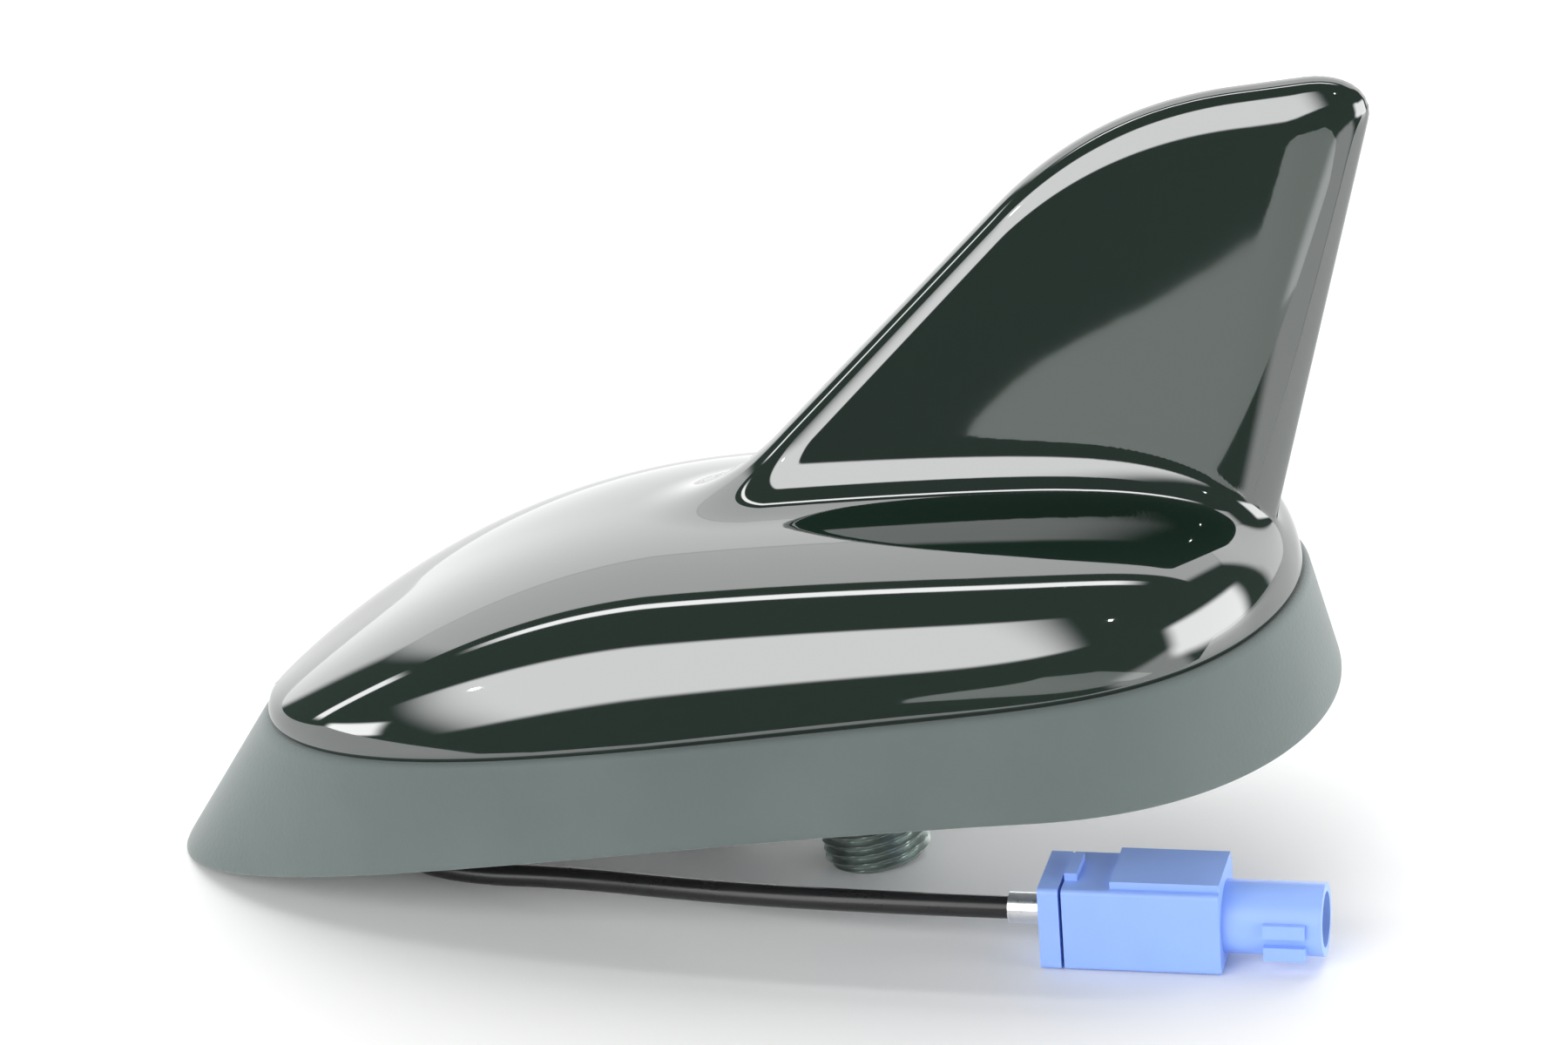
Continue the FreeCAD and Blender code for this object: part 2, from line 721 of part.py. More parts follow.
def rounded_path(route):
    """Straight runs joined by tangent arcs, each as large as its two runs allow."""
    points = [Vector(*each) for each in route]
    edges = []
    radii = []
    last = points[0]
    for before, corner, after in zip(points, points[1:], points[2:]):
        back = before - corner
        ahead = after - corner
        run = RUN_SHARE * min(back.Length, ahead.Length)
        back.normalize()
        ahead.normalize()
        half = (math.pi - back.getAngle(ahead)) / 2
        radius = run / math.tan(half)
        inward = back + ahead
        inward.normalize()
        middle = corner + inward * (radius / math.cos(half) - radius)
        start = corner + back * run
        end = corner + ahead * run
        edges.append(Part.LineSegment(last, start).toShape())
        edges.append(Part.Arc(start, middle, end).toShape())
        radii.append(radius)
        last = end
    edges.append(Part.LineSegment(last, points[-1]).toShape())
    print("lead's bend radii, mm:", [round(radius, 1) for radius in radii])
    return Part.Wire(edges)


def make_coax_cable():
    """Round lead along its route."""
    path = rounded_path(ROUTE)
    radius = size("cable_radius")
    start = Vector(*ROUTE[0])
    along = Vector(*ROUTE[1]) - start
    ring = Part.Wire([Part.makeCircle(radius, start, along)])
    tube = path.makePipeShell([ring], True, False)
    straight = math.pi * radius ** 2 * path.Length
    print("lead's length, mm:", round(path.Length, 1), "volume over section times length:",
          round(tube.Volume / straight, 4))
    return feature("coax_cable", tube)


# Plug: worked along X from its back face, then laid where the lead ends
PLUG_PLACEMENT = FreeCAD.Placement(
    Vector(size("plug_place"), -size("plug_side"), -size("plug_drop")),
    FreeCAD.Rotation(Vector(0, 1, 0), size("plug_tilt")))


def plug_block(name, start, length, width, height):
    """A plug block centred on the plug's axis, with its long edges rounded."""
    block = box(name + "_block", length, width, height, start, "-" + width + " / 2", "-" + height + " / 2")
    doc.recompute()
    rounded = doc.addObject("Part::Fillet", name)
    rounded.Base = block
    edge_round = size("plug_round")
    rounded.Edges = [(number, edge_round, edge_round) for number in edges_along(block, Vector(1, 0, 0))]
    return rounded


def make_plug_housing():
    """Keyed plastic housing: a square body with a raised top and a round nose with two keys."""
    body_start = "{plug_lock_length} + {plug_groove}"
    body = plug_block("plug_body", body_start, "{plug_length} - {plug_lock_length} - {plug_groove}",
                      "{plug_width}", "{plug_height}")
    low = "{plug_height} / 2 - {overcut}"
    top = box("plug_top", "{plug_length} - {plug_step_start}", "{plug_width} - 2 * {plug_step_inset}",
              "{plug_step} + {overcut}", "{plug_step_start}", "{plug_step_inset} - {plug_width} / 2", low)
    latch = box("plug_latch", "{plug_latch_length}", "{plug_width} / 2", "{plug_step} + {overcut}",
                body_start, "-{plug_width} / 4", low)
    nose = rod("plug_nose", "{plug_nose_radius}", "{plug_nose_length} + {overcut}",
               "{plug_length} - {overcut}")
    ribs = [box("plug_" + drop, "{plug_rib_length}", "{plug_rib} + {overcut}", "{plug_rib_width}",
                "{plug_length} + {plug_rib_start}", "-{plug_nose_radius} - {plug_rib}", "-{%s}" % drop)
            for drop in ("upper_rib_drop", "lower_rib_drop")]
    solid = fuse("plug_solid", body, top, latch, nose, *ribs)
    bore = rod("plug_bore_hole", "{plug_bore}", "{plug_length} + {plug_nose_length}", "-{overcut}")
    mouth = rod("plug_mouth", "{plug_nose_bore}", "{plug_nose_length}", "{plug_length} + {overcut}")
    return cut("plug_housing", solid, bore, mouth)


def make_plug_lock():
    """Collar that slides on behind the housing and locks the contact."""
    collar = plug_block("lock_collar", "0", "{plug_lock_length}", "{plug_width}", "{plug_height}")
    tongue = rod("lock_tongue", "{plug_bore} - {fit_gap}", "{plug_groove} + 2 * {overcut}",
                 "{plug_lock_length}")
    hole = rod("lock_hole", "{ferrule_radius} + {fit_gap}", "{plug_length}", "-{overcut}")
    return cut("plug_lock", fuse("lock_solid", collar, tongue), hole)


def make_crimp_ferrule():
    """Bright metal ferrule crimped on the lead, reaching into the collar."""
    tube = rod("ferrule_tube", "{ferrule_radius}", "{ferrule_length} + {contact_start}", "-{ferrule_length}")
    hole = rod("ferrule_hole", "{cable_radius} / 2", "{plug_length} * 2", "-{ferrule_length} - {overcut}")
    return cut("crimp_ferrule", tube, hole)


def make_plug_sleeve():
    """Outer contact: a drawn tube that fills the housing's bore."""
    length = "{plug_length} + {plug_nose_length} - {contact_start} - {sleeve_set_back}"
    tube = rod("sleeve_tube", "{plug_bore} - {fit_gap} / 2", length, "{contact_start}")
    hole = rod("sleeve_hole", "{plug_bore} - {fit_gap} / 2 - {sleeve_wall}",
               "{plug_length} + {plug_nose_length}", "{contact_start} - {overcut}")
    return cut("plug_sleeve", tube, hole)


def make_plug_insulator():
    """Bead that holds the pin in the middle of the sleeve."""
    bead = rod("insulator_bead", "{plug_bore} - {fit_gap} / 2 - {sleeve_wall}",
               "{plug_length} - {contact_start}", "{contact_start}")
    hole = rod("insulator_hole", "{pin_radius}", "{plug_length} * 2", "{contact_start} - {overcut}")
    return cut("plug_insulator", bead, hole)


def make_plug_pin():
    """Inner contact pin."""
    length = "{plug_length} + {plug_nose_length} - {contact_start} - {pin_set_back}"
    return rod("plug_pin", "{pin_radius}", length, "{contact_start}")


ON_PLUG = {
    make_plug_housing, make_plug_lock, make_crimp_ferrule, make_plug_sleeve, make_plug_insulator,
    make_plug_pin,
}
MAKERS = [
    make_fin_cover, make_roof_seal, make_base_plate, make_mounting_stud, make_stud_gasket,
    make_cover_screws, make_main_board, make_board_screws, make_patch_antenna,
    make_small_patch_antenna, make_shield_can, make_fin_holder, make_fin_board,
    make_contact_springs, make_cable_header, make_cable_grommet, make_coax_cable,
    make_crimp_ferrule, make_plug_lock, make_plug_housing, make_plug_sleeve, make_plug_insulator,
    make_plug_pin,
]

parts = []
for maker in MAKERS:
    part = maker()
    part.Label = maker.__name__.replace("make_", "", 1)
    parts.append((part, maker in ON_PLUG))
doc.recompute()

for obj in doc.Objects:
    if "Invalid" in obj.State or "Error" in obj.State:
        raise RuntimeError("%s failed: %s" % (obj.Label, obj.State))

os.makedirs("parts", exist_ok=True)
for part, on_plug in parts:
    shape = part.Shape.copy()
    if on_plug:
        shape.Placement = PLUG_PLACEMENT.multiply(shape.Placement)
    if shape.isNull() or not shape.isValid() or not shape.Solids:
        raise RuntimeError("%s has no valid solid" % part.Label)
    shape.exportStep(os.path.join("parts", part.Label + ".step"))
    print(part.Label, len(shape.Solids), round(shape.Volume, 1))
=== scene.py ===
"""A fin-shaped car roof antenna with its short lead, built up from the roof base to the plug."""

import bmesh
import bpy
import numpy as np
from mathutils import Matrix


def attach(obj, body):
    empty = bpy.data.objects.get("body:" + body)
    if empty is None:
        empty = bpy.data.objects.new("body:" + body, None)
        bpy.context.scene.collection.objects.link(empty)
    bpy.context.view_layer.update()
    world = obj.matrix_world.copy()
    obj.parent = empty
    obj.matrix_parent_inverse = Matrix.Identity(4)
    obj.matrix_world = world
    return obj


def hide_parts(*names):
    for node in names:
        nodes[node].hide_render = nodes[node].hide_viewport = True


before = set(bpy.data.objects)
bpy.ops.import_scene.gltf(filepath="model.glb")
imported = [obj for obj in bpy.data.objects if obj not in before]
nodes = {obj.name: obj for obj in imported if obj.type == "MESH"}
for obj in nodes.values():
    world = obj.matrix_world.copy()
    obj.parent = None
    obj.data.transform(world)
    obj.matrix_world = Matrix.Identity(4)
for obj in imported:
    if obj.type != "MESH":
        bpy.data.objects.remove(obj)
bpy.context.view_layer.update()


# The base plate is a die-cast zinc tray that carries every other piece of the antenna.
# It leaves the die with a dull grey skin, and the six cover screws come up through it.

class Shade:
    """One output of a material's nodes. Arithmetic on it adds Math nodes to that material."""

    def __init__(self, tree, out):
        self.tree = tree
        self.out = out

    def node(self, kind, settings, ties, output=0):
        """A new node: first its settings, then the value or the link of each socket."""
        made = self.tree.nodes.new(kind)
        for name, value in settings.items():
            setattr(made, name, value)
        for name, value in ties.items():
            if isinstance(value, Shade):
                self.tree.links.new(value.out, made.inputs[name])
            else:
                made.inputs[name].default_value = value
        return Shade(self.tree, made.outputs[output])

    def maths(self, operation, first, second):
        return self.node("ShaderNodeMath", {"operation": operation}, {0: first, 1: second})

    def __add__(self, other):
        return self.maths("ADD", self, other)

    def __radd__(self, other):
        return self.maths("ADD", other, self)

    def __sub__(self, other):
        return self.maths("SUBTRACT", self, other)

    def __rsub__(self, other):
        return self.maths("SUBTRACT", other, self)

    def __mul__(self, other):
        return self.maths("MULTIPLY", self, other)

    def __rmul__(self, other):
        return self.maths("MULTIPLY", other, self)

    def between(self, low, high):
        """0 below low, 1 above high, and a smooth step from one to the other."""
        settings = {"interpolation_type": "SMOOTHSTEP"}
        return self.node("ShaderNodeMapRange", settings, {0: self, 1: low, 2: high, 3: 0.0, 4: 1.0})

    def mix(self, low, high):
        """The colour low where this is 0, and high where it is 1."""
        return self.node("ShaderNodeMix", {"data_type": "RGBA"}, {0: self, 6: low, 7: high}, output=2)

    def axis(self, name):
        """One coordinate of a place."""
        return self.node("ShaderNodeSeparateXYZ", {}, {0: self}, output="XYZ".index(name))

    def speckle(self, size, detail=2.0):
        """Noise from 0 to 1 at a place, with spots of about that size in metres."""
        ties = {"Vector": self, "Scale": 1.0 / size, "Detail": detail}
        return self.node("ShaderNodeTexNoise", {}, ties)


def new_finish(name, **fixed):
    """A material and its shader with the fixed values set on it, and the place on the piece."""
    material = bpy.data.materials.new(name)
    material.use_nodes = True
    tree = material.node_tree
    shader = tree.nodes["Principled BSDF"]
    for socket, value in fixed.items():
        shader.inputs[socket.replace("_", " ")].default_value = value
    place = Shade(tree, tree.nodes.new("ShaderNodeTexCoord").outputs["Object"])
    return material, shader, place


def feed(shader, socket, shade):
    """Lets a shade drive one socket of the shader."""
    shade.tree.links.new(shade.out, shader.inputs[socket])


def roughen(shader, height, depth):
    """Raises the surface by up to that depth in metres where the height is 1."""
    bump = height.node("ShaderNodeBump", {}, {"Strength": 1.0, "Distance": depth, "Height": height})
    feed(shader, "Normal", bump)


def dress(material, *names):
    """Gives a finish to solids that already have the right shape."""
    for name in names:
        nodes[name].data.materials.clear()
        nodes[name].data.materials.append(material)


cast_zinc, shader, place = new_finish("cast_zinc", Metallic=0.9)
clouds = place.speckle(0.009, 4.0)
pits = place.speckle(0.0009)
feed(shader, "Base Color", clouds.mix((0.30, 0.31, 0.31, 1), (0.46, 0.47, 0.47, 1)))
feed(shader, "Roughness", 0.42 + 0.18 * clouds)
roughen(shader, pits, 0.00006)
dress(cast_zinc, "base_plate")


# The mounting stud is a hollow steel screw pressed into the base plate, with a slot for the lead.
# It is turned and thread-rolled, then plated dark, and a nut from inside the car pulls on it.

def even_steps(points, count):
    """The same line through the points, as that many points evenly spaced along its length."""
    steps = np.linalg.norm(np.diff(points, axis=0), axis=1)
    along = np.concatenate([[0.0], np.cumsum(steps)])
    wanted = np.linspace(0.0, along[-1], count)
    return np.stack([np.interp(wanted, along, column) for column in points.T], axis=1)


def capped(grid):
    """The grid with a row drawn together to one point before its first row and after its last."""
    first = np.broadcast_to(grid[:1].mean(1, keepdims=True), grid[:1].shape)
    last = np.broadcast_to(grid[-1:].mean(1, keepdims=True), grid[-1:].shape)
    return np.concatenate([first, grid, last])


def closed_piece(name, grids, material, crease=40.0):
    """One mesh from grids of points in mm: rows along the first parameter, rings along the second.

    Every ring closes on itself. A grid's first and last rows are points or meet each other."""
    mesh = bpy.data.meshes.new(name)
    corners = []
    start = 0
    for grid in grids:
        rows, ring = grid.shape[:2]
        index = start + np.arange(rows * ring).reshape(rows, ring)
        turned = np.roll(index, -1, axis=1)
        quads = np.stack([index[:-1], index[1:], turned[1:], turned[:-1]], axis=-1)
        corners.append(quads.reshape(-1, 4))
        start += rows * ring
    points = np.concatenate([grid.reshape(-1, 3) for grid in grids]) * 0.001
    corners = np.concatenate(corners)
    mesh.vertices.add(len(points))
    mesh.vertices.foreach_set("co", points.ravel())
    mesh.loops.add(corners.size)
    mesh.loops.foreach_set("vertex_index", corners.ravel())
    mesh.polygons.add(len(corners))
    mesh.polygons.foreach_set("loop_start", np.arange(0, corners.size, 4))
    mesh.update(calc_edges=True)
    work = bmesh.new()
    work.from_mesh(mesh)
    bmesh.ops.remove_doubles(work, verts=work.verts, dist=1e-6)
    bmesh.ops.recalc_face_normals(work, faces=work.faces)
    work.to_mesh(mesh)
    work.free()
    mesh.polygons.foreach_set("use_smooth", np.ones(len(mesh.polygons), bool))
    mesh.set_sharp_from_angle(angle=np.radians(crease))
    mesh.materials.append(material)
    piece = bpy.data.objects.new(name, mesh)
    bpy.context.scene.collection.objects.link(piece)
    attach(piece, "root")
    return piece


def turned(profile, count=96):
    """A profile of radius and height turned about the stud's axis, one row for each point."""
    angle = np.linspace(0.0, 2 * np.pi, count, endpoint=False)
    radius = profile[:, :1]
    height = np.broadcast_to(profile[:, 1:], (len(profile), count))
    return np.stack([radius * np.cos(angle), radius * np.sin(angle), height], axis=-1)


STUD_RADIUS = 7.0
STUD_BORE = 3.0
STUD_FOOT = -19.5
STUD_HEAD = 1.0
SLOT_TOP = -7.5
SLOT_HALF = 3.0
THREAD_PITCH = 1.25
THREAD_DEPTH = 0.62
THREAD_FLAT = 0.125
STUD_CHAMFER = 0.9
BORE_ROOM = 0.02
FLANGE = {"radius": 12.0, "low": 1.0, "high": 4.0, "chamfer": 0.4}
NECK = {"radius": 6.0, "top": 8.0}


def thread_radius(angle, height):
    """The stud's radius less a flat-topped wave of the height minus the turns made, per pitch."""
    phase = (height / THREAD_PITCH - angle / (2 * np.pi)) % 1.0
    wave = np.clip((1 + 2 * THREAD_FLAT) * np.abs(2 * phase - 1) - THREAD_FLAT, 0.0, 1.0)
    from_foot = np.clip(1 - (height - STUD_FOOT) / STUD_CHAMFER, 0.0, 1.0)
    return STUD_RADIUS - np.maximum(THREAD_DEPTH * wave, STUD_CHAMFER * from_foot)


def slotted_wall():
    """The stud's lower wall: rows go round from one side of the slot to the other.

    A ring goes up the thread and down the bore. A point's angle starts where the slot's flat
    side meets its own radius, so the two sides stay parallel."""
    around = np.linspace(0.0, 1.0, 241)[:, None]
    rise = np.linspace(STUD_FOOT, SLOT_TOP, 170)
    height = np.concatenate([rise, rise[::-8]])[None, :]
    outside = np.concatenate([np.ones(len(rise)), np.zeros(len(rise[::-8]))])[None, :]
    nominal = np.where(outside > 0, STUD_RADIUS, STUD_BORE + BORE_ROOM)
    start = np.arcsin(SLOT_HALF / nominal)
    angle = start + (2 * np.pi - 2 * start) * around
    radius = np.where(outside > 0, thread_radius(angle, height), nominal)
    height = np.broadcast_to(height, radius.shape)
    return capped(np.stack([-radius * np.cos(angle), -radius * np.sin(angle), height], axis=-1))


def upper_wall():
    """The stud above the slot: rows go down the bore, then up the thread to the plate."""
    angle = np.linspace(0.0, 2 * np.pi, 240, endpoint=False)[None, :]
    rise = np.linspace(SLOT_TOP, STUD_HEAD, 120)[:, None]
    thread = thread_radius(angle, rise)
    bore = np.full((2, 240), STUD_BORE)
    radius = np.concatenate([bore, thread, bore[:1]])
    height = np.concatenate([[[STUD_HEAD], [SLOT_TOP]], rise, [[STUD_HEAD]]])
    height = np.broadcast_to(height, radius.shape)
    return np.stack([-radius * np.cos(angle), -radius * np.sin(angle), height], axis=-1)


flange_profile = np.array([
    [STUD_BORE, NECK["top"]], [STUD_BORE, FLANGE["low"]],
    [FLANGE["radius"] - FLANGE["chamfer"], FLANGE["low"]],
    [FLANGE["radius"], FLANGE["low"] + FLANGE["chamfer"]],
    [FLANGE["radius"], FLANGE["high"] - FLANGE["chamfer"]],
    [FLANGE["radius"] - FLANGE["chamfer"], FLANGE["high"]],
    [NECK["radius"], FLANGE["high"]], [NECK["radius"], NECK["top"]], [STUD_BORE, NECK["top"]],
])
dark_plating, shader, place = new_finish("dark_plating", Metallic=1.0)
stain = place.speckle(0.004, 3.0)
feed(shader, "Base Color", stain.mix((0.24, 0.29, 0.27, 1), (0.40, 0.46, 0.43, 1)))
feed(shader, "Roughness", 0.28 + 0.2 * stain)
roughen(shader, place.speckle(0.0006), 0.00002)
stud_grids = [slotted_wall(), upper_wall(), turned(flange_profile)]
stud = closed_piece("threaded_stud", stud_grids, dark_plating, 25.0)
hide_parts("mounting_stud")


# The stud gasket is a ring die-cut from closed-cell foam and stuck round the stud's flange.
# It keeps water out of the hole in the roof.

foam, shader, place = new_finish("foam", Roughness=0.95, Sheen_Weight=0.15)
cells = place.node("ShaderNodeTexVoronoi", {}, {"Vector": place, "Scale": 1600.0})
feed(shader, "Base Color", cells.mix((0.018, 0.018, 0.018, 1), (0.05, 0.05, 0.05, 1)))
roughen(shader, cells, 0.0002)
dress(foam, "stud_gasket")


# The lead's header and grommet stand in the stud's bore: a moulded socket and a rubber bush.
# They are pushed in from above before the board goes on.

black_plastic, shader, place = new_finish("black_plastic", Specular_IOR_Level=0.4)
mottle = place.speckle(0.003)
feed(shader, "Base Color", mottle.mix((0.016, 0.016, 0.017, 1), (0.03, 0.03, 0.031, 1)))
feed(shader, "Roughness", 0.4 + 0.2 * mottle)
roughen(shader, place.speckle(0.0004), 0.00002)
dress(black_plastic, "cable_header", "fin_holder")

soft_rubber, shader, place = new_finish("soft_rubber", Specular_IOR_Level=0.3)
dusting = place.speckle(0.005, 3.0)
feed(shader, "Base Color", dusting.mix((0.02, 0.021, 0.021, 1), (0.045, 0.046, 0.045, 1)))
feed(shader, "Roughness", 0.62 + 0.2 * dusting)
dress(soft_rubber, "cable_grommet")


# The boards are glass-fibre laminate with green lacquer over etched copper tracks.
# The main board is screwed to the base plate, and the upright one slides into its holder.

lacquer, shader, place = new_finish("lacquer", Coat_Weight=0.3, Coat_Roughness=0.15)
lanes = place.node("ShaderNodeTexBrick", {"offset": 0.5}, {
    "Vector": place, "Scale": 90.0, "Mortar Size": 0.03, "Mortar Smooth": 0.2,
    "Color1": (0, 0, 0, 1), "Color2": (0, 0, 0, 1), "Mortar": (1, 1, 1, 1)}, output=1)
weave = place.speckle(0.0012)
tracks = lanes.mix((0.006, 0.06, 0.028, 1), (0.02, 0.16, 0.07, 1))
feed(shader, "Base Color", tracks)
feed(shader, "Roughness", 0.3 + 0.2 * weave)
roughen(shader, lanes, 0.00004)
dress(lacquer, "main_board", "fin_board")


# The two patch antennas are pressed and fired ceramic blocks with a silver face.
# Each is soldered to the main board through its middle.

fired_ceramic, shader, place = new_finish("fired_ceramic", Specular_IOR_Level=0.5)
grit = place.speckle(0.0007, 3.0)
feed(shader, "Base Color", grit.mix((0.55, 0.50, 0.40, 1), (0.68, 0.64, 0.54, 1)))
feed(shader, "Roughness", 0.5 + 0.3 * grit)
roughen(shader, grit, 0.00003)
dress(fired_ceramic, "patch_antenna", "small_patch_antenna")


# The shield can is folded from tinned steel and soldered over the amplifier.
# The springs beside it are bent from brass strip and touch the upright board.

tinplate, shader, place = new_finish("tinplate", Metallic=1.0)
spangle = place.node("ShaderNodeTexVoronoi", {}, {"Vector": place, "Scale": 260.0})
feed(shader, "Base Color", spangle.mix((0.60, 0.60, 0.58, 1), (0.74, 0.74, 0.72, 1)))
feed(shader, "Roughness", 0.22 + 0.25 * spangle)
dress(tinplate, "shield_can")

spring_brass, shader, place = new_finish("spring_brass", Metallic=1.0)
tarnish = place.speckle(0.002, 3.0)
feed(shader, "Base Color", tarnish.mix((0.50, 0.33, 0.10, 1), (0.74, 0.55, 0.23, 1)))
feed(shader, "Roughness", 0.25 + 0.2 * tarnish)
dress(spring_brass, "contact_springs")


# The screws are zinc-plated steel: four hold the board down and six pull the cover to the plate.
# The cover's screws are driven from below, through the plate, into posts moulded in the cover.

plated_steel, shader, place = new_finish("plated_steel", Metallic=1.0)
swirl = place.speckle(0.0015, 3.0)
feed(shader, "Base Color", swirl.mix((0.48, 0.49, 0.50, 1), (0.66, 0.67, 0.67, 1)))
feed(shader, "Roughness", 0.25 + 0.2 * swirl)
dress(plated_steel, "board_screws", "cover_screws")


# The roof seal is a skirt moulded from soft grey rubber, between the cover's rim and the roof.
# Its foot follows the roof's camber, and its top edge stands a little proud of the cover.

RIM = 12.0
COVER_PLAN = {"nose": 76.4, "tail": 61.7, "widest": 12.0, "half": 31.9, "blunt": (3.8, 4.0)}
FOOT_PLAN = {"nose": 94.0, "tail": 64.0, "widest": 30.0, "half": 37.0, "blunt": (2.7, 2.3)}
ROOF_RADIUS = 650.0
SEAL_PROUD = 0.7
SEAL_POCKET = -4.3
SEAL_WINDOW = -9.0
POCKET_TOP = 8.0
SEAL_ROUND = {"under": 0.05, "foot": 0.09, "top": 0.94, "lip": 0.75}


def half_plan(plan, grow, count):
    """Half of an egg's outline from nose to tail, evenly spaced.

    The half width is its greatest times the root of one less a power of the share of the way
    from the widest place to the nose or to the tail."""
    turn = np.linspace(0.0, np.pi, 40001)
    share = np.abs(np.cos(turn))
    to_nose = plan["widest"] + plan["nose"] + grow
    to_tail = plan["tail"] + grow - plan["widest"]
    nose_side = -to_nose * share ** (2 / plan["blunt"][0])
    tail_side = to_tail * share ** (2 / plan["blunt"][1])
    along = plan["widest"] + np.where(turn < np.pi / 2, nose_side, tail_side)
    across = (plan["half"] + grow) * np.sin(turn)
    return even_steps(np.stack([along, across], axis=1), count)


def whole_plan(plan, grow, count):
    """Both halves of an egg's outline as one ring of 2 * count - 2 points."""
    half = half_plan(plan, grow, count)
    return np.concatenate([half, half[-2:0:-1] * [1, -1]])


def roof_height(along):
    """The roof falls away from its highest line as a circle does."""
    return np.sqrt(ROOF_RADIUS ** 2 - along ** 2) - ROOF_RADIUS


def seal_skirt():
    """Rings round the skirt: over the foot's round edge, up the outside, over the top, down inside.

    The outside is ruled from the foot's outline to the rim's, point by point at even shares."""
    count = 241
    foot = whole_plan(FOOT_PLAN, 0.0, count)
    top = whole_plan(COVER_PLAN, SEAL_PROUD, count)
    ground = roof_height(foot[:, 0])

    def ruled(share):
        """A ring on the outside at that share of the way up."""
        spot = foot + (top - foot) * share
        return np.column_stack([spot, ground + (RIM - ground) * share])

    def level(grow, height):
        """A ring on the cover's plan, grown and at one height."""
        spot = whole_plan(COVER_PLAN, grow, count)
        return np.column_stack([spot, np.broadcast_to(height, len(spot))])

    def bent(first, corner, last, steps=6):
        """Rings of the curve that leaves first and arrives at last aiming at the corner."""
        s = np.linspace(0.0, 1.0, steps)[:, None, None]
        return first * (1 - s) ** 2 + corner * 2 * s * (1 - s) + last * s ** 2

    pocket = level(SEAL_POCKET, 0.0)
    under = pocket.copy()
    under[:, 2] = roof_height(pocket[:, 0])
    foot_ring = ruled(0.0)
    inward = foot_ring + (under - foot_ring) * SEAL_ROUND["under"]
    round_foot = bent(inward, foot_ring, ruled(SEAL_ROUND["foot"]))
    share = np.linspace(SEAL_ROUND["foot"] + 0.02, SEAL_ROUND["top"] - 0.01, 26)[:, None, None]
    wall = foot_ring * (1 - share) + ruled(1.0) * share
    lip = level(SEAL_PROUD - SEAL_ROUND["lip"], RIM)
    round_top = bent(ruled(SEAL_ROUND["top"]), ruled(1.0), lip)
    inside = np.stack([
        level(SEAL_WINDOW, RIM), level(SEAL_WINDOW, POCKET_TOP), level(SEAL_POCKET, POCKET_TOP), under,
    ])
    return np.concatenate([under[None], round_foot, wall, round_top, inside])


seal_rubber, shader, place = new_finish("seal_rubber", Specular_IOR_Level=0.28, Sheen_Weight=0.35)
bloom = place.speckle(0.02, 5.0)
grain = place.speckle(0.00055)
scuff = place.node("ShaderNodeTexNoise", {}, {"Vector": place, "Scale": 60.0, "Detail": 6.0})
tone = (bloom * 0.6 + scuff * 0.4).between(0.35, 0.65)
feed(shader, "Base Color", tone.mix((0.120, 0.152, 0.147, 1), (0.135, 0.170, 0.164, 1)))
feed(shader, "Roughness", 0.55 + 0.2 * scuff)
roughen(shader, grain, 0.00005)
seal = closed_piece("roof_skirt", [seal_skirt()], seal_rubber, 50.0)
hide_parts("roof_seal")


# The fin cover is one shell moulded in glossy green-black plastic: a low egg-shaped dome that
# runs up into a thin swept fin. Its rim is rounded in, which leaves a fine groove at the seal.

CREST = {"lip": 1.5, "place": -16.0, "height": 32.7, "fall": 0.27, "fall_power": 1.5, "tail_power": 8.0}
SECTION = {"across": 3.0, "up": 2.6, "root": 2.8, "depth": 20.0, "beyond": 6.0}
FIN = {"lead": -52.4, "lead_angle": 37.85, "trail": 51.6, "trail_angle": 22.25, "height": 77.4}
FIN_ROUND = {"front": 11.0, "back": 9.0, "top": 6.5, "root": 4.6, "tip": 3.4, "fillet": 7.0}
COVER_WALL = 2.5
GROOVE = {"depth": 0.5, "height": 0.95}
HUB = {"along": 20.0, "over_rim": 2.0, "reach": 130.0}
PACE = {"nose": 0.55, "tail": 0.15}
WIDEST_RAY = 34.0


def smooth_max(first, second, reach):
    """The greater of two values, lifted by a parabola where they are closer than the reach."""
    near = np.clip(reach - np.abs(first - second), 0.0, None) / reach
    return np.maximum(first, second) + near * near * reach / 4


def cover_width(along, inset):
    """Half the cover's width at its rim, by the egg's formula, drawn in by the inset."""
    to_nose = (COVER_PLAN["widest"] - along) / (COVER_PLAN["widest"] + COVER_PLAN["nose"] - inset)
    to_tail = (along - COVER_PLAN["widest"]) / (COVER_PLAN["tail"] - COVER_PLAN["widest"] - inset)
    power = np.where(to_nose > 0, COVER_PLAN["blunt"][0], COVER_PLAN["blunt"][1])
    share = np.clip(np.maximum(to_nose, to_tail), 0.0, 1.0)
    return np.maximum((COVER_PLAN["half"] - inset) * np.sqrt(1 - share ** power), 1e-3)


def crest_height(along, inset):
    """The dome's height over its rim: a parabola to the nose, and a slow fall to a blunt tail."""
    nose = inset - COVER_PLAN["nose"]
    tail = COVER_PLAN["tail"] - inset
    front = np.clip((CREST["place"] - along) / (CREST["place"] - nose), 0.0, 1.0)
    rear = np.clip((along - CREST["place"]) / (tail - CREST["place"]), 0.0, 1.0)
    fall = (1 - CREST["fall"] * rear ** CREST["fall_power"]) * np.sqrt(1 - rear ** CREST["tail_power"])
    return CREST["lip"] + (CREST["height"] - inset - RIM - CREST["lip"]) * (1 - front ** 2) * fall


